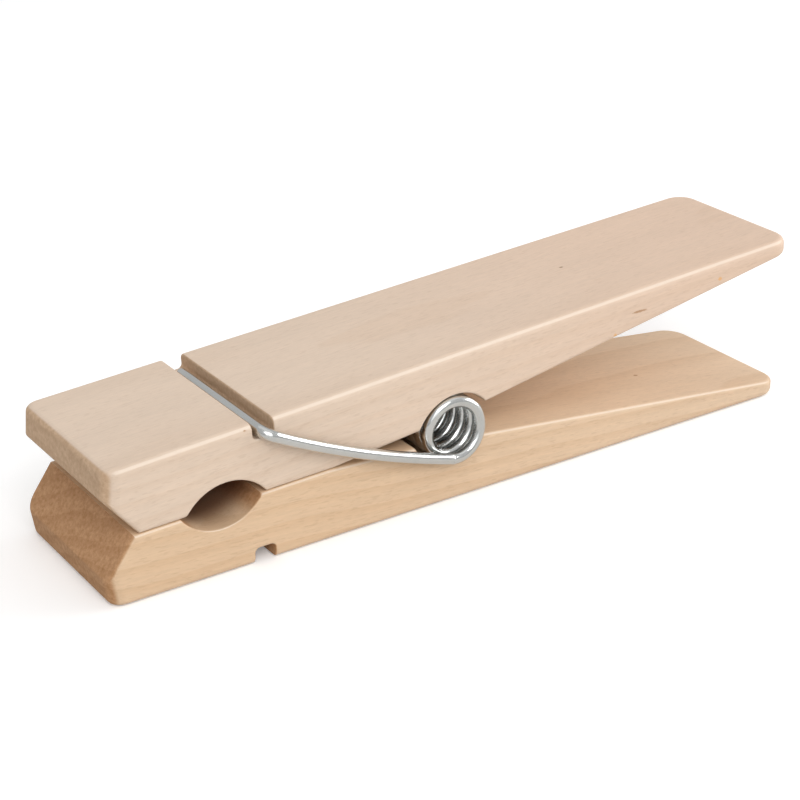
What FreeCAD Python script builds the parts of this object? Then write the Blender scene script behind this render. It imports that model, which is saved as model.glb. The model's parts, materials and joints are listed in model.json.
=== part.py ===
import FreeCAD, Part
import math
import os
import re
import Sketcher

# A jumbo wooden spring clothespin: two identical profile-milled legs and one wire torsion spring.
#
# Frame: millimetres, +Z up, the clothespin lying on the flat outer face of its lower leg. X runs
# along that leg from the jaws (-X) to the finger ends (+X), with X = 0 at half its length. Y runs
# across the width, with Y = 0 on the middle plane. Z = 0 is the surface that it lies on.
#
# Both legs are the same part, drawn in a frame of its own: x from the nose, z from the outer face.
# The mid line lies in the middle plane, where the closed jaws meet. The upper leg is the same part
# turned half a turn about it, and set back along it by the slip, the play that the coil has in its
# seats. The spring is drawn about its coil's axis, with x along the mid line. It has the half-turn
# symmetry too: its near arm (-Y) rises to the upper leg's groove, its far arm drops to the lower's.

SIZES = [
    ("length", 152.0, "leg, nose to finger end"),
    ("width", 33.0, "leg, side to side"),
    ("jaw_height", 12.5, "outer face to mid line at the nose"),
    ("jaw_angle", 1.72, "degrees between an outer face and the mid line"),
    ("jaw_gap", 0.12, "between the closed jaws"),
    ("nose_height", 5.2, "front face of the nose"),
    ("nose_lean", 0.8, "how far the front face leans back at its foot"),
    ("lead_in", 5.3, "length of the bevel that lets the line in"),
    ("land_end", 43.0, "nose to the end of the flat jaw"),
    ("waist_height", 12.4, "leg thickness at the coil, before its seat is cut"),
    ("tail_height", 3.0, "leg thickness at the finger end"),
    ("tail_corner", 4.5, "rounded corners of the finger end, seen from above"),
    ("nose_corner", 2.6, "rounded corners of the nose, seen from above"),
    ("outer_round", 1.3, "sanded edges of the outer face"),
    ("inner_round", 0.8, "sanded edges of the jaw, bevel and finger faces"),
    ("line_hole_x", 21.6, "nose to the middle of the line hole"),
    ("line_hole_radius", 9.3, "arc of the line hole"),
    ("line_hole_depth", 4.2, "mid line to the bottom of the arc"),
    ("seat_x", 68.9, "nose to the middle of the coil's seat"),
    ("seat_radius", 8.6, "arc of the coil's seat"),
    ("seat_gap", 0.15, "coil to seat where they are closest"),
    ("groove_x", 29.8, "nose to the middle of the wire groove"),
    ("groove_width", 4.0, "wire groove in the outer face"),
    ("groove_depth", 3.0, "wire groove in the outer face"),
    ("groove_round", 0.9, "radius in the groove's bottom corners"),
    ("cut_round", 0.35, "softened edges of the line hole, the seat and the groove"),
    ("slip", 1.0, "how far the upper leg sits back along the mid line"),
    ("wire", 2.15, "wire diameter"),
    ("coil_diameter", 10.65, "coil, wire centre to wire centre"),
    ("coil_turns", 13.0, "whole turns, before the part turn between the arms"),
    ("arm_angle", 18.0, "degrees between mid line and arm, where it leaves the coil"),
    ("ease_radius", 12.0, "from the coil's pitch into the plane of the arm"),
    ("bend_radius", 2.2, "from the arm into the cross bar"),
    ("side_gap", 0.3, "arm to the side of the legs"),
    ("wire_gap", 0.2, "cross bar to the floor of its groove"),
    ("bar_inset", 5.0, "end of the cross bar, in from the leg's side"),
]
LEGS = ["lower_leg", "upper_leg"]
SPRING = "spring"
ALIASES = re.compile(r"\b(" + "|".join(name for name, size, note in SIZES) + r")\b")

# Formulas in alias names. The mid line's height over a leg's outer face, at x from the nose:
MID_LINE = "(jaw_height + ({x}) * tan(1deg * jaw_angle))"
MID_AT_SEAT = MID_LINE.format(x="seat_x")
# From the seat's middle on the mid line to the centre of its arc, square to the mid line.
SEAT_REACH = "(seat_radius - coil_diameter / 2 - wire / 2 - seat_gap)"
SEAT_RISE = f"sqrt({SEAT_REACH} ^ 2 - (slip / 2) ^ 2)"
# The coil's axis in the lower leg's frame, half the slip behind the middle of its seat.
COIL_X = "(seat_x + slip / 2 * cos(1deg * jaw_angle))"
COIL_Z = f"({MID_AT_SEAT} + slip / 2 * sin(1deg * jaw_angle))"

ORIGIN = FreeCAD.Vector(0, 0, 0)
X_AXIS = FreeCAD.Vector(1, 0, 0)
Y_AXIS = FreeCAD.Vector(0, 1, 0)
TOUCH = 1e-3


def make_sheet(doc):
    """Put every driving size in a spreadsheet cell with an alias."""
    sheet = doc.addObject("Spreadsheet::Sheet", "Sizes")
    for row, (name, size, note) in enumerate(SIZES, start=1):
        sheet.set(f"A{row}", name)
        sheet.set(f"B{row}", str(size))
        sheet.set(f"C{row}", note)
        sheet.setAlias(f"B{row}", name)
    doc.recompute()
    return sheet


def bound(formula):
    """Write a formula in alias names as an expression that reads the sheet."""
    return ALIASES.sub(r"Sizes.\1", formula)


def value(sheet, formula):
    """Work a formula in alias names out as a number."""
    return float(sheet.evalExpression(formula))


# ---------------------------------------------------------------- the legs


def new_sketch(body, name):
    """Start a sketch on the body's own XZ plane: sketch x is the leg's x, sketch y is its z."""
    sketch = body.newObject("Sketcher::SketchObject", name)
    plane = [item for item in body.Origin.OriginFeatures if item.Role == "XZ_Plane"][0]
    sketch.AttachmentSupport = [(plane, "")]
    sketch.MapMode = "FlatFace"
    return sketch


def drive(sketch, name, constraint, formula):
    """Add a constraint whose size comes from the sheet."""
    index = sketch.addConstraint(constraint)
    sketch.renameConstraint(index, name)
    sketch.setExpression(f"Constraints.{name}", bound(formula))


def place(sketch, sheet, name, geometry, point, x, z):
    """Hold one point of a sketch at x and z, two formulas, from the sketch's origin."""
    for kind, axis, formula in (("DistanceX", "x", x), ("DistanceY", "z", z)):
        size = value(sheet, formula)
        drive(
            sketch,
            f"{name}_{axis}",
            Sketcher.Constraint(kind, -1, 1, geometry, point, size),
            formula,
        )


def polygon(sketch, sheet, corners):
    """Draw a closed outline through named corners, each held where its two formulas put it."""
    spots = [FreeCAD.Vector(value(sheet, x), value(sheet, z), 0) for name, x, z in corners]
    for start, end in zip(spots, spots[1:] + spots[:1]):
        sketch.addGeometry(Part.LineSegment(start, end))
    for index, (name, x, z) in enumerate(corners):
        previous = (index - 1) % len(corners)
        sketch.addConstraint(Sketcher.Constraint("Coincident", previous, 2, index, 1))
        place(sketch, sheet, name, index, 1, x, z)


def circle(sketch, sheet, x, z, radius):
    """Draw a circle whose centre and radius come from the sheet."""
    centre = FreeCAD.Vector(value(sheet, x), value(sheet, z), 0)
    size = value(sheet, radius)
    sketch.addGeometry(Part.Circle(centre, FreeCAD.Vector(0, 0, 1), size))
    place(sketch, sheet, "centre", 0, 3, x, z)
    drive(sketch, "radius", Sketcher.Constraint("Radius", 0, size), radius)


def pocket(doc, body, sketch):
    """Cut a sketch right across the leg, and check that it took wood away."""
    before = body.Shape.Volume
    cut = body.newObject("PartDesign::Pocket", f"{sketch.Name}_cut")
    cut.Profile = sketch
    cut.Type = "ThroughAll"
    cut.SideType = "Symmetric"
    doc.recompute()
    if cut.Shape.Volume > before - 1.0:
        raise ValueError(f"{cut.Name} cut nothing")


def fillet(doc, body, name, radius, chosen):
    """Round the edges whose bounding box is chosen, with a radius from the sheet."""
    base = body.Tip
    edges = enumerate(base.Shape.Edges, start=1)
    names = [f"Edge{number}" for number, edge in edges if chosen(edge.BoundBox)]
    if not names:
        raise ValueError(f"{name} found no edges")
    feature = body.newObject("PartDesign::Fillet", name)
    feature.Base = (base, names)
    feature.setExpression("Radius", bound(radius))
    doc.recompute()


def make_blank(doc, sheet, body):
    """The leg as it is sawn and sanded, before its line hole, seat and groove."""
    name = body.Name
    outline = new_sketch(body, f"{name}_outline")
    land = MID_LINE + " - jaw_gap / 2"
    polygon(outline, sheet, [
        ("nose_foot", "nose_lean", "0"),
        ("tail_foot", "length", "0"),
        ("tail_top", "length", "tail_height"),
        ("waist", "seat_x", "waist_height"),
        ("land_rear", "land_end", land.format(x="land_end")),
        ("land_front", "lead_in", land.format(x="lead_in")),
        ("nose_top", "0", "nose_height"),
    ])
    blank = body.newObject("PartDesign::Pad", f"{name}_blank")
    blank.Profile = outline
    blank.SideType = "Symmetric"
    blank.setExpression("Length", bound("width"))
    doc.recompute()

    length = value(sheet, "length")
    nose_top = value(sheet, "nose_height")
    side = value(sheet, "width") / 2

    def tail_upright(box):
        return box.XMin > length - TOUCH and box.YLength < TOUCH

    def nose_upright(box):
        return box.YLength < TOUCH and box.XMin < TOUCH and box.ZMax < nose_top + TOUCH

    def outer_rim(box):
        return box.ZMax < TOUCH

    def inner_rim(box):
        on_side = box.YLength < TOUCH and abs(box.YMin) > side - TOUCH
        on_end = box.YLength > side and min(box.XMin, length - box.XMax) < TOUCH
        return on_side and box.ZMax > nose_top / 2 or on_end and box.ZMin > TOUCH

    fillet(doc, body, f"{name}_tail_corners", "tail_corner", tail_upright)
    fillet(doc, body, f"{name}_nose_corners", "nose_corner", nose_upright)
    fillet(doc, body, f"{name}_outer_sanding", "outer_round", outer_rim)
    fillet(doc, body, f"{name}_inner_sanding", "inner_round", inner_rim)


def make_leg(doc, sheet, name):
    """One leg: a sanded blank with the line hole, the coil's seat and the wire's groove."""
    body = doc.addObject("PartDesign::Body", name)
    body.Label = name
    make_blank(doc, sheet, body)

    hole = new_sketch(body, f"{name}_line_hole")
    hole_z = MID_LINE.format(x="line_hole_x") + " + line_hole_radius - line_hole_depth"
    circle(hole, sheet, "line_hole_x", hole_z, "line_hole_radius")
    pocket(doc, body, hole)

    seat = new_sketch(body, f"{name}_seat")
    seat_x = f"seat_x - {SEAT_RISE} * sin(1deg * jaw_angle)"
    seat_z = f"{MID_AT_SEAT} + {SEAT_RISE} * cos(1deg * jaw_angle)"
    circle(seat, sheet, seat_x, seat_z, "seat_radius")
    pocket(doc, body, seat)

    groove = new_sketch(body, f"{name}_groove")
    polygon(groove, sheet, [
        ("front_mouth", "groove_x - groove_width / 2", "-groove_depth"),
        ("rear_mouth", "groove_x + groove_width / 2", "-groove_depth"),
        ("rear_floor", "groove_x + groove_width / 2", "groove_depth"),
        ("front_floor", "groove_x - groove_width / 2", "groove_depth"),
    ])
    pocket(doc, body, groove)
    floor = value(sheet, "groove_depth")

    side = value(sheet, "width / 2")
    cuts = [value(sheet, middle) for middle in ("line_hole_x", "seat_x", "groove_x")]

    def straight_across(box):
        return box.YLength > side and max(box.XLength, box.ZLength) < TOUCH

    def floor_corner(box):
        return straight_across(box) and abs(box.ZMin - floor) < TOUCH

    def cut_mouth(box):
        near_cut = min(abs(box.XMin - middle) for middle in cuts) < value(sheet, "seat_radius")
        on_face = box.ZMax < TOUCH or box.ZMin > floor + TOUCH
        return straight_across(box) and near_cut and on_face

    fillet(doc, body, f"{name}_groove_corners", "groove_round", floor_corner)
    fillet(doc, body, f"{name}_softened_cuts", "cut_round", cut_mouth)
    return body


# ---------------------------------------------------------------- the spring


def arc(start, heading, side, radius, angle):
    """An arc from a point along a heading, turning towards a side that is square to it."""
    def spot(swing):
        forward = heading * (radius * math.sin(swing))
        return start + forward + side * (radius * (1 - math.cos(swing)))

    edge = Part.Arc(start, spot(angle / 2), spot(angle)).toShape()
    return edge, spot(angle), heading * math.cos(angle) + side * math.sin(angle)


def make_coil(sheet):
    """The coil's centre line, with its turns' pitch angle and the point where its near arm starts.

    The coil fills the space between the two arms, less what the arms take to ease out of its
    pitch, which depends on the pitch itself and settles in a few rounds.
    """
    radius = value(sheet, "coil_diameter / 2")
    lean = value(sheet, "arm_angle")
    arm_y = value(sheet, "width / 2 + side_gap + wire / 2")
    turns = value(sheet, "coil_turns + 0.5 + arm_angle / 180")
    end_y = arm_y
    for settle in range(6):
        lead = math.atan(2 * end_y / turns / (2 * math.pi * radius))
        end_y = arm_y - value(sheet, "ease_radius") * (1 - math.cos(lead))

    coil = Part.makeHelix(2 * end_y / turns, 2 * end_y, radius, 0, True)
    coil.rotate(ORIGIN, X_AXIS, -90)
    coil.rotate(ORIGIN, Y_AXIS, 90 + lean)
    coil.translate(FreeCAD.Vector(0, -end_y, 0))
    foot = FreeCAD.Rotation(Y_AXIS, lean).multVec(FreeCAD.Vector(0, 0, -radius))
    return coil, lead, foot - Y_AXIS * end_y


def make_arm(sheet, lead, start):
    """The near arm from the coil to the end of its cross bar, and that end.

    The wire leaves the bottom of the coil for the jaws, eases out of the coil's pitch, bows up
    beside the legs and bends across into the upper leg's groove. The bow's swing is the one that
    ends at the groove: with reach r from its start to the cross bar, split along the arm and up
    across it, tan(swing / 2) = r_up / (r_along + bend radius).
    """
    lean = FreeCAD.Rotation(Y_AXIS, value(sheet, "arm_angle"))
    along = lean.multVec(FreeCAD.Vector(-1, 0, 0))
    up = lean.multVec(FreeCAD.Vector(0, 0, 1))
    heading = along * math.cos(lead) - Y_AXIS * math.sin(lead)
    side = along * math.sin(lead) + Y_AXIS * math.cos(lead)
    ease, spot, heading = arc(start, heading, side, value(sheet, "ease_radius"), lead)

    # From the coil's axis to the cross bar's: first in the lower leg, then turned to the upper.
    depth = value(sheet, f"groove_depth - wire_gap - wire / 2 - {MID_AT_SEAT}")
    bar = FreeCAD.Vector(value(sheet, "groove_x - seat_x"), 0, depth)
    bar = FreeCAD.Rotation(Y_AXIS, value(sheet, "jaw_angle")).multVec(bar)
    bar.z = -bar.z
    reach = bar - spot
    bend = value(sheet, "bend_radius")
    swing = 2 * math.atan(reach.dot(up) / (reach.dot(along) + bend))
    bow_radius = (reach.dot(along) - bend * math.cos(swing)) / math.sin(swing)

    bow, spot, heading = arc(spot, along, up, bow_radius, swing)
    corner, spot, heading = arc(spot, heading, Y_AXIS, bend, math.pi / 2)
    tip = FreeCAD.Vector(spot.x, value(sheet, "width / 2 - bar_inset"), spot.z)
    return [ease, bow, corner, Part.LineSegment(spot, tip).toShape()], tip


def make_spring(doc, sheet):
    """The torsion spring: coil, two bowed arms and two cross bars, one wire swept on one path."""
    coil, lead, start = make_coil(sheet)
    near, tip = make_arm(sheet, lead, start)
    far = [edge.copy() for edge in near]
    for edge in far:
        edge.rotate(ORIGIN, X_AXIS, 180)

    seated = FreeCAD.Placement(
        FreeCAD.Vector(value(sheet, f"{COIL_X} - length / 2"), 0, value(sheet, COIL_Z)),
        FreeCAD.Rotation(Y_AXIS, -value(sheet, "jaw_angle")),
    )
    path = doc.addObject("Part::Feature", "spring_path")
    path.Shape = Part.Wire(Part.__sortEdges__(far + coil.Edges + near))
    path.Placement = seated

    section = doc.addObject("Part::Circle", "wire_section")
    section.setExpression("Radius", bound("wire / 2"))
    section.Placement = FreeCAD.Placement(seated.multVec(tip), FreeCAD.Rotation(X_AXIS, 90))

    spring = doc.addObject("Part::Sweep", SPRING)
    spring.Label = SPRING
    spring.Sections = [section]
    spring.Spine = (path, [])
    spring.Solid = True
    spring.Frenet = True
    doc.recompute()

    expected = path.Shape.Length * math.pi * value(sheet, "wire / 2") ** 2
    print(f"wire length {path.Shape.Length:.1f} mm, bow radius {near[1].Curve.Radius:.0f} mm")
    if abs(spring.Shape.Volume - expected) > 0.01 * expected:
        raise ValueError("the spring's volume isn't its section times its length")
    return spring


# ---------------------------------------------------------------- the clothespin


def check(doc, parts):
    """Stop if any object failed, or any sub-part isn't one valid solid."""
    for item in doc.Objects:
        if "Invalid" in item.State or "Error" in item.State:
            raise ValueError(f"{item.Name} is {item.State}")
    for item in parts:
        shape = item.Shape
        if shape.isNull() or not shape.isValid() or len(shape.Solids) != 1:
            raise ValueError(f"{item.Label} isn't one valid solid")


def main():
    """Build the document, check it and write one STEP file for each sub-part."""
    doc = FreeCAD.newDocument("clothespin")
    sheet = make_sheet(doc)
    lower, upper = [make_leg(doc, sheet, name) for name in LEGS]

    # Half a turn about the mid line is half a turn about X, pitched by twice the jaw angle.
    lying = "placement(vector(-length / 2; 0; 0); rotation(0; 0; 0))"
    back = "slip * cos(1deg * jaw_angle) - length / 2 - jaw_height * sin(2deg * jaw_angle)"
    rise = "slip * sin(1deg * jaw_angle) + jaw_height * (1 + cos(2deg * jaw_angle))"
    turned = f"placement(vector({back}; 0; {rise}); rotation(0; -2 * jaw_angle; 180))"
    lower.setExpression("Placement", bound(lying))
    upper.setExpression("Placement", bound(turned))
    doc.recompute()

    parts = [lower, upper, make_spring(doc, sheet)]
    check(doc, parts)
    os.makedirs("parts", exist_ok=True)
    for item in parts:
        item.Shape.exportStep(f"parts/{item.Label}.step")
        print(f"{item.Label}: {item.Shape.Volume:.0f} mm3")


main()
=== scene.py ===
# %% [markdown]
# # A jumbo wooden spring clothespin
#
# Two identical hardwood legs are milled to a profile, sanded, and left raw. One length of
# zinc-plated spring wire is wound into a coil that sits between them. Its two arms run forward
# beside the legs and end in a cross bar, which lies in a groove in each leg's outer face.
#
# The design model gives every size. This script adds what the eye sees: raw wood whose grain
# follows each leg, and a smooth drawn wire that takes the place of the model's plain one.

import json
import math

import bmesh
import bpy
import numpy as np
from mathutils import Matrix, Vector


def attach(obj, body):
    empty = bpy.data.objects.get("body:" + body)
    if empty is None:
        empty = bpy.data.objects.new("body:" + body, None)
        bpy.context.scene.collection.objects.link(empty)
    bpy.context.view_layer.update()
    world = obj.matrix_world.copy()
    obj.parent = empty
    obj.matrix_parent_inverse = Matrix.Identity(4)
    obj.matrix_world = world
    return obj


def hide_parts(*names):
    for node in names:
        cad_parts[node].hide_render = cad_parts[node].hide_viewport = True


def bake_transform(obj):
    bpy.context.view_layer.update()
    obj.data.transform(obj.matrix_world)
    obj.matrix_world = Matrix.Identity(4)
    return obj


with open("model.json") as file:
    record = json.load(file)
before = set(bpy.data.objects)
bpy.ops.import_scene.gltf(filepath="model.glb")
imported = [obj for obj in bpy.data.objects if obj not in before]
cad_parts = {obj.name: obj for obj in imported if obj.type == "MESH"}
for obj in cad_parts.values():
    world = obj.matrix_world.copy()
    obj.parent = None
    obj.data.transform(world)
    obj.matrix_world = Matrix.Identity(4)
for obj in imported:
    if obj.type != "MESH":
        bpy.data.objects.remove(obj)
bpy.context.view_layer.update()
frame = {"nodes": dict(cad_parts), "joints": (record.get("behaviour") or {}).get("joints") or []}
MM = 0.001
hinge = Vector(frame["joints"][0]["pos_m"])
print("coil's axis in mm:", [round(x / MM, 2) for x in hinge])

# %% [markdown]
# ## Camera
#
# A small product is photographed from some way off with a long lens, which keeps its edges nearly
# parallel. The camera stands in front of the jaws, on the side where the coil's open end shows,
# and looks down by a quarter of a right angle or so. A small shift centres the clothespin.

# %% Camera
azimuth, elevation = math.radians(-34.19), math.radians(25.63)
backwards = Vector((
    math.sin(azimuth) * math.cos(elevation),
    -math.cos(azimuth) * math.cos(elevation),
    math.sin(elevation),
))
lens = bpy.data.cameras.new("camera")
lens.sensor_width = 36.0
lens.lens = 83.68
lens.shift_x, lens.shift_y = -0.0011, 0.0137
lens.clip_start, lens.clip_end = 0.01, 20.0
camera = bpy.data.objects.new("camera", lens)
camera.location = Vector((-183.5, -259.9, 162.4)) * MM
camera.rotation_euler = backwards.to_track_quat("Z", "Y").to_euler()
bpy.context.scene.collection.objects.link(camera)
bpy.context.scene.camera = camera
print("camera stands", round((camera.location - hinge).length / MM), "mm from the coil")

# %% [markdown]
# ## Colours and nodes
#
# Colours are written as sRGB hex values, as a paint chart gives them. Blender's shaders work in
# linear light, so one function turns them. A second one adds a node with its settings and links,
# which keeps each material short enough to read as a recipe.


# %% Colour and node helpers
def linear(code):
    """An sRGB hex colour as linear RGBA: each channel c is ((c + 0.055) / 1.055) to the 2.4."""
    channels = np.array([int(code[i:i + 2], 16) for i in (1, 3, 5)]) / 255
    low, high = channels / 12.92, ((channels + 0.055) / 1.055) ** 2.4
    return (*np.where(channels <= 0.04045, low, high), 1.0)


def add(tree, kind, inputs=None, **settings):
    """Add a shader node, with its settings, and fill or link its inputs by name or number."""
    node = tree.nodes.new("ShaderNode" + kind)
    for key, value in settings.items():
        setattr(node, key, value)
    for key, value in (inputs or {}).items():
        if isinstance(value, bpy.types.NodeSocket):
            tree.links.new(value, node.inputs[key])
        else:
            node.inputs[key].default_value = value
    return node


def new_material(name):
    """An empty material, with its node tree and its principled shader."""
    material = bpy.data.materials.new(name)
    material.use_nodes = True
    tree = material.node_tree
    return material, tree, tree.nodes["Principled BSDF"]


print("middle grey in linear light:", [round(float(c), 3) for c in linear("#808080")])

# %% [markdown]
# ## Floor and light
#
# The clothespin lies on seamless white paper. Soft light comes from everywhere above. The key
# softbox stands high in front: it reaches into the line hole and throws the arm's soft shadow on
# the wood below it. Weaker ones hang overhead, low in front and low beyond the finger ends, so the
# wood shows its own colour and the shadows stay faint. The paper is as white as paper to the eye,
# and throws a bit less light back up, so undersides keep some shade. The sky is darker near the
# horizon. Bright wire needs that: a mirror in an evenly white room looks flat, and it is the dark
# band that draws its roundness.

# %% Floor
paper, tree, shader = new_material("white_seamless_paper")
spread = add(tree, "TexNoise", {"Scale": 6.0, "Detail": 1.0})
tone = add(tree, "Mix", {0: spread.outputs["Fac"], 6: linear("#F8F8F8"), 7: linear("#FCFCFC")},
           data_type="RGBA")
sight = add(tree, "LightPath").outputs["Is Camera Ray"]
tone = add(tree, "Mix", {0: sight, 6: linear("#DCDAD7"), 7: tone.outputs[2]}, data_type="RGBA")
tree.links.new(tone.outputs[2], shader.inputs["Base Color"])
glow = add(tree, "Math", {0: sight, 1: 0.16}, operation="MULTIPLY")
tree.links.new(glow.outputs[0], shader.inputs["Emission Strength"])
shader.inputs["Roughness"].default_value = 0.9
shader.inputs["Specular IOR Level"].default_value = 0.1
shader.inputs["Emission Color"].default_value = linear("#FFFFFF")

REACH = 4.0
sheet = bpy.data.meshes.new("floor")
sheet.from_pydata([(-REACH, -REACH, 0), (REACH, -REACH, 0), (REACH, REACH, 0), (-REACH, REACH, 0)],
                  [], [(0, 1, 2, 3)])
sheet.materials.append(paper)
floor = bpy.data.objects.new("floor", sheet)
floor.location.z = -0.00005
bpy.context.scene.collection.objects.link(floor)

# %% Sky
scene = bpy.context.scene
scene.view_settings.view_transform = "Standard"
world = bpy.data.worlds.new("studio")
world.use_nodes = True
scene.world = world
tree = world.node_tree
tree.nodes.clear()
direction = add(tree, "TexCoord")
height = add(tree, "SeparateXYZ", {0: direction.outputs["Generated"]})
rise = add(tree, "MapRange", {"Value": height.outputs["Z"], "From Min": 0.0, "From Max": 0.35,
                              "To Min": 0.43, "To Max": 0.58}, interpolation_type="SMOOTHSTEP")
soft_sky = add(tree, "Background", {"Color": linear("#FFFFFF"), "Strength": rise.outputs[0]})
plain_sky = add(tree, "Background", {"Color": linear("#FFFFFF"), "Strength": 1.0})
seen = add(tree, "LightPath")
mixed = add(tree, "MixShader", {0: seen.outputs["Is Camera Ray"], 1: soft_sky.outputs[0],
                                2: plain_sky.outputs[0]})
add(tree, "OutputWorld", {"Surface": mixed.outputs[0]})


# %% Softboxes
def softbox(name, place, target, width, height, watts):
    """A rectangular light at one point, facing another, both in metres."""
    light = bpy.data.lights.new(name, "AREA")
    light.shape = "RECTANGLE"
    light.size, light.size_y = width, height
    light.energy = watts
    lamp = bpy.data.objects.new(name, light)
    lamp.location = place
    lamp.rotation_euler = (Vector(place) - Vector(target)).to_track_quat("Z", "Y").to_euler()
    scene.collection.objects.link(lamp)
    return lamp


softbox("key_softbox", (-0.35, -0.95, 0.95), (0, 0, 0.02), 1.0, 0.7, 8.0)
softbox("overhead_softbox", (0.15, 0.05, 1.1), (0, 0, 0), 1.4, 1.0, 1.2)
softbox("low_front_softbox", (-0.50, -1.05, 0.36), (0, 0, 0.02), 0.9, 0.5, 1.0)
softbox("finger_end_softbox", (1.05, -0.25, 0.34), (0, 0, 0.02), 0.8, 0.5, 6.0)

# %% [markdown]
# ## Raw wood
#
# The legs are a pale, close-grained hardwood such as birch, sawn along the grain, milled, sanded
# and left without any finish. Four things tell the eye that it is wood. Growth rings cross it as
# faint wide bands, a few millimetres apart. Fibres draw fine streaks along the leg. Short pores
# are cut open as tiny dashes. Where the cutter went across the fibres, at the nose, the finger
# end and the groove's walls, the end grain drinks light and looks brown and rough.
#
# All of it is worked out in the leg's own millimetres, so the pattern goes right through the wood
# as the real one does: the dashes on the face turn into dots on the end grain by themselves.


# %% Wood nodes
RING_GAP, PITH_ASIDE, PITH_BELOW = 3.4, 9.0, 46.0
HOLE_RADIUS = 9.3


def sums(tree, kind, first, second=0.0, third=0.0):
    """One step of arithmetic."""
    return add(tree, "Math", {0: first, 1: second, 2: third}, operation=kind).outputs[0]


def times(tree, first, second):
    return sums(tree, "MULTIPLY", first, second)


def around_one(tree, noise, swing):
    """Noise from 0 to 1, turned into a factor from 1 - swing / 2 to 1 + swing / 2."""
    return sums(tree, "MULTIPLY_ADD", noise, swing, 1 - swing / 2)


def band(tree, source, low, high, curve="SMOOTHSTEP"):
    """0 at low and 1 at high, whichever of the two is the larger."""
    return add(tree, "MapRange", {"Value": source, "From Min": low, "From Max": high},
               interpolation_type=curve).outputs[0]


def blend(tree, amount, first, second, kind="MIX"):
    return add(tree, "Mix", {0: amount, 6: first, 7: second}, data_type="RGBA",
               blend_type=kind).outputs[2]


def cells(tree, board, long, wide, detail=2.0, rough=0.5):
    """Noise from 0 to 1 in cells of the given length and width in mm."""
    scaled = add(tree, "VectorMath", {0: board, 1: (1 / long, 1 / wide, 1 / wide)},
                 operation="MULTIPLY").outputs[0]
    return add(tree, "TexNoise", {"Vector": scaled, "Scale": 1.0, "Detail": detail,
                                  "Roughness": rough}).outputs[0]


def distance(tree, first, second):
    """The square root of first^2 + second^2."""
    squares = sums(tree, "ADD", times(tree, first, first), times(tree, second, second))
    return sums(tree, "SQRT", squares)


# %% What the wood is made of
def late_wood(tree, board):
    """Growth rings: distance from the pith line plus a slow wobble, over the ring spacing.

    Each ring darkens slowly to its late wood, and ends at once.
    """
    axes = add(tree, "SeparateXYZ", {0: board}).outputs
    across = sums(tree, "ADD", axes["Y"], -PITH_ASIDE)
    depth = sums(tree, "ADD", axes["Z"], PITH_BELOW)
    wobble = times(tree, cells(tree, board, 70, 16), 7.0)
    reach = sums(tree, "ADD", distance(tree, across, depth), wobble)
    phase = sums(tree, "FRACT", sums(tree, "DIVIDE", reach, RING_GAP))
    return times(tree, band(tree, phase, 0.35, 0.92), band(tree, phase, 1.0, 0.94))


def painted_hole_shade(tree, spot, hole):
    """Painted shade on the line hole's arc: full deep inside the hole, where shade falls, fading
    out towards its mouths.
    """
    off_x = sums(tree, "SUBTRACT", spot["X"], hole[0])
    off_z = sums(tree, "SUBTRACT", spot["Z"], hole[1])
    off_arc = sums(tree, "SUBTRACT", distance(tree, off_x, off_z), HOLE_RADIUS)
    arc = band(tree, sums(tree, "ABSOLUTE", off_arc), 0.45, 0.15)
    return times(tree, arc, band(tree, sums(tree, "ABSOLUTE", spot["Y"]), 15.5, 8.0))


def small_mark(tree, row, mottle, flaw):
    """How much of a mark there is: 1 in the middle of an uneven drop, 0 outside it."""
    x, y, z, long, wide, code = flaw
    apart = add(tree, "VectorMath", {0: row, 1: (x, y, z)}, operation="SUBTRACT").outputs[0]
    apart = add(tree, "VectorMath", {0: apart, 1: (1 / long, 1 / wide, 1 / wide)},
                operation="MULTIPLY").outputs[0]
    reach = add(tree, "VectorMath", {0: apart}, operation="LENGTH").outputs["Value"]
    uneven = sums(tree, "ADD", reach, sums(tree, "MULTIPLY_ADD", mottle, 0.9, -0.45))
    return times(tree, band(tree, uneven, 0.62, 0.30), 0.8)


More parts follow.
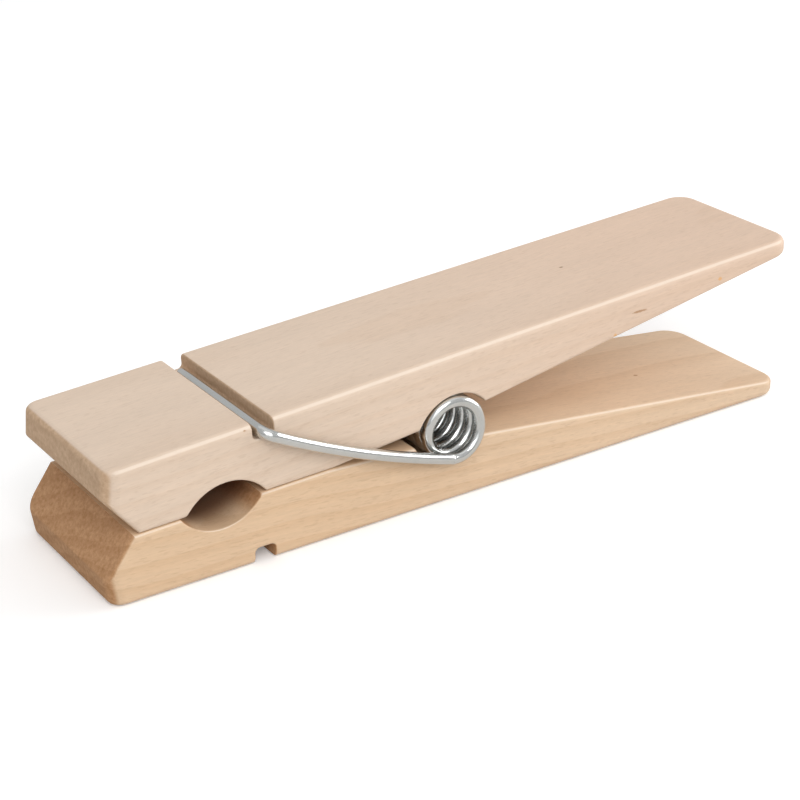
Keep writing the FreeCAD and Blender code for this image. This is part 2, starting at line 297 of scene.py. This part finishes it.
# %% Wood
def raw_hardwood(name, turn, shift, fore, aft, ring, end_light, end_dark, contrast, hole, flaws):
    """Raw sanded hardwood, as a colour, roughness and bump that fill space.

    turn is the grain's pitch about Y in degrees, shift picks a place in the board in mm.
    Board colour: fore at the jaws, easing to aft at the finger end, under rings of the ring colour.
    Fibres, hairs, pores, flecks and clouds: noise in cells longer along the leg than across it.
    End grain, from end_dark to end_light: how much the surface faces along the leg.
    hole is the x and z of the line hole's centre in mm, about which the hole's arc gets painted
    shade.
    flaws lists (x, y, z, length, width, colour) of small marks in the wood, in mm.
    """
    material, tree, shader = new_material(name)
    place = add(tree, "TexCoord")
    row = add(tree, "VectorMath", {0: place.outputs["Object"], "Scale": 1000},
              operation="SCALE").outputs[0]
    board = add(tree, "Mapping", {"Vector": row, "Location": shift,
                                  "Rotation": (0, math.radians(turn), 0)}).outputs[0]
    spot = add(tree, "SeparateXYZ", {0: row}).outputs
    facing = add(tree, "SeparateXYZ", {0: place.outputs["Normal"]}).outputs

    late = late_wood(tree, board)
    fibres = cells(tree, board, 9.0, 0.42, 3.0, 0.6)
    hairs = cells(tree, board, 3.0, 0.20, 1.0)
    clouds = cells(tree, board, 30, 7, 3.0)
    flecks = cells(tree, board, 2.2, 0.55, 4.0, 0.7)
    mottle = cells(tree, board, 0.9, 0.8, 5.0, 0.7)
    pores = band(tree, cells(tree, board, 1.7, 0.24, 0.0), 0.62, 0.76)

    colour = blend(tree, band(tree, spot["X"], -45, 70), linear(fore), linear(aft))
    colour = blend(tree, times(tree, late, 0.16 * contrast), colour, linear(ring))
    for noise, swing in ((fibres, 0.13), (hairs, 0.07), (clouds, 0.10), (flecks, 0.13)):
        colour = blend(tree, 1.0, colour, around_one(tree, noise, swing * contrast), "MULTIPLY")
    colour = blend(tree, times(tree, pores, 0.11 * contrast), colour, linear("#9A7350"))

    # The surface's own direction tells end grain and rounded edges from flat faces. Along the
    # rounded edges a painted highlight is laid, a thin light line in the middle of each round.
    end = band(tree, sums(tree, "ABSOLUTE", facing["X"]), 0.42, 0.74)
    corner = sums(tree, "ABSOLUTE", times(tree, facing["Y"], facing["Z"]))
    edge = band(tree, corner, 0.40, 0.495)
    end_colour = blend(tree, band(tree, mottle, 0.22, 0.78, "LINEAR"), linear(end_dark),
                       linear(end_light))
    end_colour = blend(tree, times(tree, late, 0.30), end_colour, linear(end_dark))
    colour = blend(tree, end, colour, end_colour)
    # Painted highlight: a thin light line along the middle of each rounded edge.
    colour = blend(tree, times(tree, edge, 0.55), colour, linear("#F0E2D2"))
    # Painted shade: the line hole's arc turns deep brown inside the hole, where shade falls, and
    # stays clean towards its mouths.
    hole_shade_amount = times(tree, painted_hole_shade(tree, spot, hole), 0.8)
    colour = blend(tree, hole_shade_amount, colour, linear("#6A3A18"))
    for flaw in flaws:
        colour = blend(tree, small_mark(tree, row, mottle, flaw), colour, linear(flaw[-1]))
    tree.links.new(colour, shader.inputs["Base Color"])

    roughness = sums(tree, "MULTIPLY_ADD", fibres, 0.16, 0.56)
    roughness = sums(tree, "MULTIPLY_ADD", end, 0.18, roughness)
    tree.links.new(roughness, shader.inputs["Roughness"])

    relief = sums(tree, "MULTIPLY_ADD", hairs, 0.5, fibres)
    relief = sums(tree, "MULTIPLY_ADD", pores, -0.4, relief)
    relief = sums(tree, "MULTIPLY_ADD", end, times(tree, mottle, 0.9), relief)
    bump = add(tree, "Bump", {"Height": relief, "Strength": 0.35, "Distance": 0.00005})
    tree.links.new(bump.outputs[0], shader.inputs["Normal"])
    shader.inputs["IOR"].default_value = 1.5
    return material


PIT, RESIN, FLECK = "#8E6A48", "#DFA968", "#A87C54"
upper_wood = raw_hardwood(
    "raw_birch_upper", 3.4, (11, 7, 3), fore="#DBC6B2", aft="#DCC1AB", ring="#CBAB8E",
    end_light="#D4B799", end_dark="#AF8F71", contrast=1.0, hole=(-53.1, 8.09),
    flaws=[
        (31.8, 1.7, 31.5, 0.9, 0.6, PIT), (36.5, -16.5, 27.4, 3.4, 0.5, FLECK),
        (56.7, -16.5, 29.5, 1.1, 0.8, RESIN), (30.6, -16.5, 23.9, 0.9, 0.7, RESIN),
        (-49.4, -16.5, 26.0, 0.9, 0.5, FLECK),
    ])
lower_wood = raw_hardwood(
    "raw_birch_lower", -4.0, (140, 31, 9), fore="#DABC9B", aft="#DDC2A5", ring="#C0966A",
    end_light="#CDA27A", end_dark="#9B6D43", contrast=1.25, hole=(-54.4, 18.25),
    flaws=[(48.1, -3.4, 6.2, 1.2, 0.7, FLECK)])
for node, wood in (("upper_leg", upper_wood), ("lower_leg", lower_wood)):
    leg = frame["nodes"][node]
    leg.data.materials.clear()
    leg.data.materials.append(wood)
    print(node, "is", wood.name, "on", len(leg.data.polygons), "faces")

# %% [markdown]
# ## The wire's line
#
# The spring is one drawn wire, so it is made as one thing: a circle carried along a line. The line
# is worked out about the coil's axis, in millimetres, with x towards the fingers and z up:
#
# * the coil, a left-handed helix of 13 turns and a bit that fills the space between the arms;
# * a short arc that eases from the coil's pitch into the plane beside the leg;
# * a long shallow bow, up to the height of the groove;
# * a tight bend, and the straight cross bar.
#
# The far arm is the near arm turned half a turn about x, because the whole clothespin is the same
# from above and from below.

# %% Wire sizes and the coil's pitch
WIRE, COIL, TURNS = 2.15, 10.65, 13.6
LEAN, PITCHED = math.radians(18.0), math.radians(1.72)
EASE, BEND = 12.0, 2.2
HALF_WIDTH, SIDE_GAP, BAR_INSET = 16.5, 0.3, 5.0
ARM_Y = HALF_WIDTH + SIDE_GAP + WIRE / 2
BAR_END = HALF_WIDTH - BAR_INSET
along_y = np.array([0.0, 1.0, 0.0])

# The bar lies on its groove's floor, whose place is known from the leg: so far in front of the
# coil's seat, and so far above the mid line there, which is pitched.
JAW_HEIGHT, SEAT_X, GROOVE_X, GROOVE_DEPTH, WIRE_GAP = 12.5, 68.9, 29.8, 3.0, 0.2
ahead = SEAT_X - GROOVE_X
above = JAW_HEIGHT + SEAT_X * math.tan(PITCHED) - (GROOVE_DEPTH - WIRE_GAP - WIRE / 2)
CROSS_BAR = np.array([-ahead * math.cos(PITCHED) - above * math.sin(PITCHED), 0.0,
                      above * math.cos(PITCHED) - ahead * math.sin(PITCHED)])

coil_end = ARM_Y
for settle in range(6):
    lead = math.atan(2 * coil_end / TURNS / (math.pi * COIL))
    coil_end = ARM_Y - EASE * (1 - math.cos(lead))
print(f"pitch {2 * coil_end / TURNS:.2f} mm, {math.degrees(lead):.2f} degrees; "
      f"{2 * coil_end / TURNS - WIRE:.2f} mm of air between turns")


# %% The line's pieces
STEPS_PER_TURN, EASE_STEPS, BOW_STEPS, BEND_STEPS, BAR_STEPS = 56, 12, 40, 20, 12


def bow(start, heading, side, radius, swing, steps):
    """Points and headings on an arc: start + radius (sin a heading + (1 - cos a) side)."""
    a = np.linspace(0, swing, steps)[:, None]
    points = start + radius * (np.sin(a) * heading + (1 - np.cos(a)) * side)
    return points, np.cos(a) * heading + np.sin(a) * side


def unit(vectors):
    return vectors / np.linalg.norm(vectors, axis=1, keepdims=True)


def coil_line():
    """The helix: radius (cos a, sin a) about y, from the near arm's foot to the far arm's.

    Besides its points and headings, a line has square directions, which its rings start from.
    """
    turns = np.linspace(0, TURNS, int(TURNS * STEPS_PER_TURN) + 1)
    a = 2 * np.pi * turns - math.radians(90) - LEAN
    rise = 2 * coil_end / TURNS
    points = np.stack([COIL / 2 * np.cos(a), -coil_end + rise * turns, COIL / 2 * np.sin(a)], 1)
    headings = np.stack([-np.sin(a) * math.cos(lead), np.full(len(a), math.sin(lead)),
                         np.cos(a) * math.cos(lead)], 1)
    return points, headings, unit(np.cross(headings, along_y))


def arm_line():
    """The near arm: ease, bow, bend and cross bar, each starting where the last one ends."""
    forward = np.array([-math.cos(LEAN), 0, math.sin(LEAN)])
    up = np.array([math.sin(LEAN), 0, math.cos(LEAN)])
    heading = forward * math.cos(lead) - along_y * math.sin(lead)
    side = forward * math.sin(lead) + along_y * math.cos(lead)
    start = -up * COIL / 2 - along_y * coil_end
    ease = bow(start, heading, side, EASE, lead, EASE_STEPS)
    reach = CROSS_BAR - ease[0][-1]
    swing = 2 * math.atan(reach @ up / (reach @ forward + BEND))
    radius = (reach @ forward - BEND * math.cos(swing)) / math.sin(swing)
    long = bow(ease[0][-1], forward, up, radius, swing, BOW_STEPS)
    bend = bow(long[0][-1], long[1][-1], along_y, BEND, math.pi / 2, BEND_STEPS)
    run = np.linspace(0, BAR_END - bend[0][-1][1], BAR_STEPS)[:, None]
    bar = (bend[0][-1] + run * along_y, np.repeat(along_y[None], BAR_STEPS, 0))

    # Each stretch leaves out its first point, which is the last one's end.
    points = np.concatenate([ease[0], long[0][1:], bend[0][1:], bar[0][1:]])
    headings = np.concatenate([ease[1], long[1][1:], bend[1][1:], bar[1][1:]])
    beside_leg = EASE_STEPS + BOW_STEPS - 1
    square = np.cross(headings, along_y)
    square[beside_leg:] = np.cross(long[1][-1], along_y)
    return points, headings, unit(square)


# %% [markdown]
# ## The wire's skin
#
# At each point of the line a ring of points is laid square to it. A ring needs a direction to
# start from, and it must not twist from one ring to the next: beside the leg that direction is
# square to both the wire and y, and round the bend it is square to the plane of the bend. Both
# agree where they meet.
#
# The rings shrink to a point at each end. At a line's last end that closes the skin, either a
# quarter of a millimetre on, inside the piece that it joins, or in steps at the cut end of the bar,
# as a cropped wire's burred edge is tumbled round. At a line's first end, where an arm and the coil
# join, the skin has a fault: the small disc a quarter of a millimetre on is laid before its centre
# point, so the disc's rim stays open, and a shallow cone runs from there to the line's first ring.


# %% Tube
def wire_piece(name, points, headings, square, ends, around=28):
    """A tube, closed but for a disc's rim at its first end.

    Each ring is centre + r (cos b square + sin b (heading x square)).
    ends gives, for each end of the line, (step back in mm, share of the radius) pairs.
    """
    first, last = ends
    back = np.array([-step for step, share in first] + [0] * len(points)
                    + [step for step, share in last])
    share = np.array([s for step, s in first] + [1] * len(points) + [s for step, s in last])
    pick = np.concatenate([np.zeros(len(first), int), np.arange(len(points)),
                           np.full(len(last), len(points) - 1)])
    centre = points[pick] + headings[pick] * back[:, None]
    heading, square = headings[pick], square[pick]
    other = np.cross(heading, square)
    b = np.linspace(0, 2 * np.pi, around, endpoint=False)
    radius = (WIRE / 2 * share)[:, None, None]
    ring = np.cos(b)[None, :, None] * square[:, None] + np.sin(b)[None, :, None] * other[:, None]
    skin = centre[:, None] + radius * ring

    # Into the model's frame: pitched with the mid line, and set on the coil's axis.
    x, y, z = skin[..., 0], skin[..., 1], skin[..., 2]
    c, s = math.cos(PITCHED), math.sin(PITCHED)
    placed = np.stack([x * c - z * s, y, x * s + z * c], -1) * MM + np.array(hinge)

    rows = len(centre)
    corner = np.arange(rows * around).reshape(rows, around)
    right = np.roll(corner, -1, 1)
    faces = np.stack([corner[:-1], right[:-1], right[1:], corner[1:]], -1).reshape(-1, 4)
    mesh = bpy.data.meshes.new(name)
    mesh.from_pydata(placed.reshape(-1, 3), [], faces.tolist())

    # How far along the wire a point is, and where it is round it, all in mm.
    steps = np.linalg.norm(np.diff(centre, axis=0), axis=1)
    run = np.concatenate([[0], np.cumsum(steps)])
    inside = np.stack([np.repeat(run[:, None], around, 1),
                       np.repeat(np.cos(b)[None], rows, 0) * WIRE / 2,
                       np.repeat(np.sin(b)[None], rows, 0) * WIRE / 2], -1)
    drawn = mesh.attributes.new("drawn", "FLOAT_VECTOR", "POINT")
    drawn.data.foreach_set("vector", inside.astype(np.float32).ravel())

    work = bmesh.new()
    work.from_mesh(mesh)
    bmesh.ops.remove_doubles(work, verts=work.verts, dist=1e-7)
    bmesh.ops.dissolve_degenerate(work, edges=work.edges, dist=1e-7)
    bmesh.ops.recalc_face_normals(work, faces=work.faces)
    open_edges = sum(not edge.is_manifold for edge in work.edges)
    work.to_mesh(mesh)
    work.free()
    mesh.shade_smooth()
    for face in mesh.polygons:
        face.use_smooth = len(face.vertices) > 3
    piece = bpy.data.objects.new(name, mesh)
    scene.collection.objects.link(piece)
    print(f"{name}: {run[-1]:.1f} mm of wire, {len(mesh.polygons)} faces, {open_edges} open edges")
    return piece


TUCKED = [(0.25, 0.995), (0.25, 0.0)]
CROPPED = [(0.10, 0.985), (0.19, 0.93), (0.25, 0.84), (0.27, 0.72), (0.275, 0.0)]

coil = wire_piece("spring_coil", *coil_line(), (TUCKED, TUCKED))
near_arm = wire_piece("spring_near_arm", *arm_line(), (TUCKED, CROPPED))
half_turn = np.array([1.0, -1.0, -1.0])
far_arm = wire_piece("spring_far_arm", *[rows * half_turn for rows in arm_line()],
                     (TUCKED, CROPPED))

# %% [markdown]
# ## Zinc-plated wire
#
# Spring wire is drawn through dies, which leaves it smooth with hair-fine lines along its length,
# and then plated with a thin bright coat of zinc, slightly blue-white. It is a metal, so its
# colour is that of its reflection. The drawing lines are about a tenth of a millimetre apart: they
# show as a slight streak in the gloss. Handling leaves soft cloudy patches a few mm long.

# %% Zinc
zinc, tree, shader = new_material("bright_zinc_plated_spring_wire")
drawn = add(tree, "Attribute", attribute_name="drawn", attribute_type="GEOMETRY").outputs["Vector"]
lines = add(tree, "VectorMath", {0: drawn, 1: (1 / 14, 1 / 0.16, 1 / 0.16)}, operation="MULTIPLY")
lines = add(tree, "TexNoise", {"Vector": lines.outputs[0], "Scale": 1.0, "Detail": 2.0}).outputs[0]
patch = add(tree, "VectorMath", {0: drawn, 1: (1 / 5, 1 / 2, 1 / 2)}, operation="MULTIPLY")
patch = add(tree, "TexNoise", {"Vector": patch.outputs[0], "Scale": 1.0, "Detail": 3.0}).outputs[0]
tone = add(tree, "Mix", {0: patch, 6: linear("#DDDEDD"), 7: linear("#CBCDCB")}, data_type="RGBA")
tree.links.new(tone.outputs[2], shader.inputs["Base Color"])
gloss = add(tree, "MapRange", {"Value": patch, "From Min": 0.3, "From Max": 0.7,
                               "To Min": 0.15, "To Max": 0.25})
tree.links.new(gloss.outputs[0], shader.inputs["Roughness"])
relief = add(tree, "Bump", {"Height": lines, "Strength": 0.25, "Distance": 0.00001})
tree.links.new(relief.outputs[0], shader.inputs["Normal"])
shader.inputs["Metallic"].default_value = 1.0
for piece in (coil, near_arm, far_arm):
    piece.data.materials.append(zinc)
    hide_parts("spring")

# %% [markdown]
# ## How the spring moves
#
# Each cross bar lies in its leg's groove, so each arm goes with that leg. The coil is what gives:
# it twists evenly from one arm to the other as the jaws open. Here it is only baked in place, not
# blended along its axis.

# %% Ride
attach(near_arm, "upper")
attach(far_arm, "lower")
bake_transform(coil)
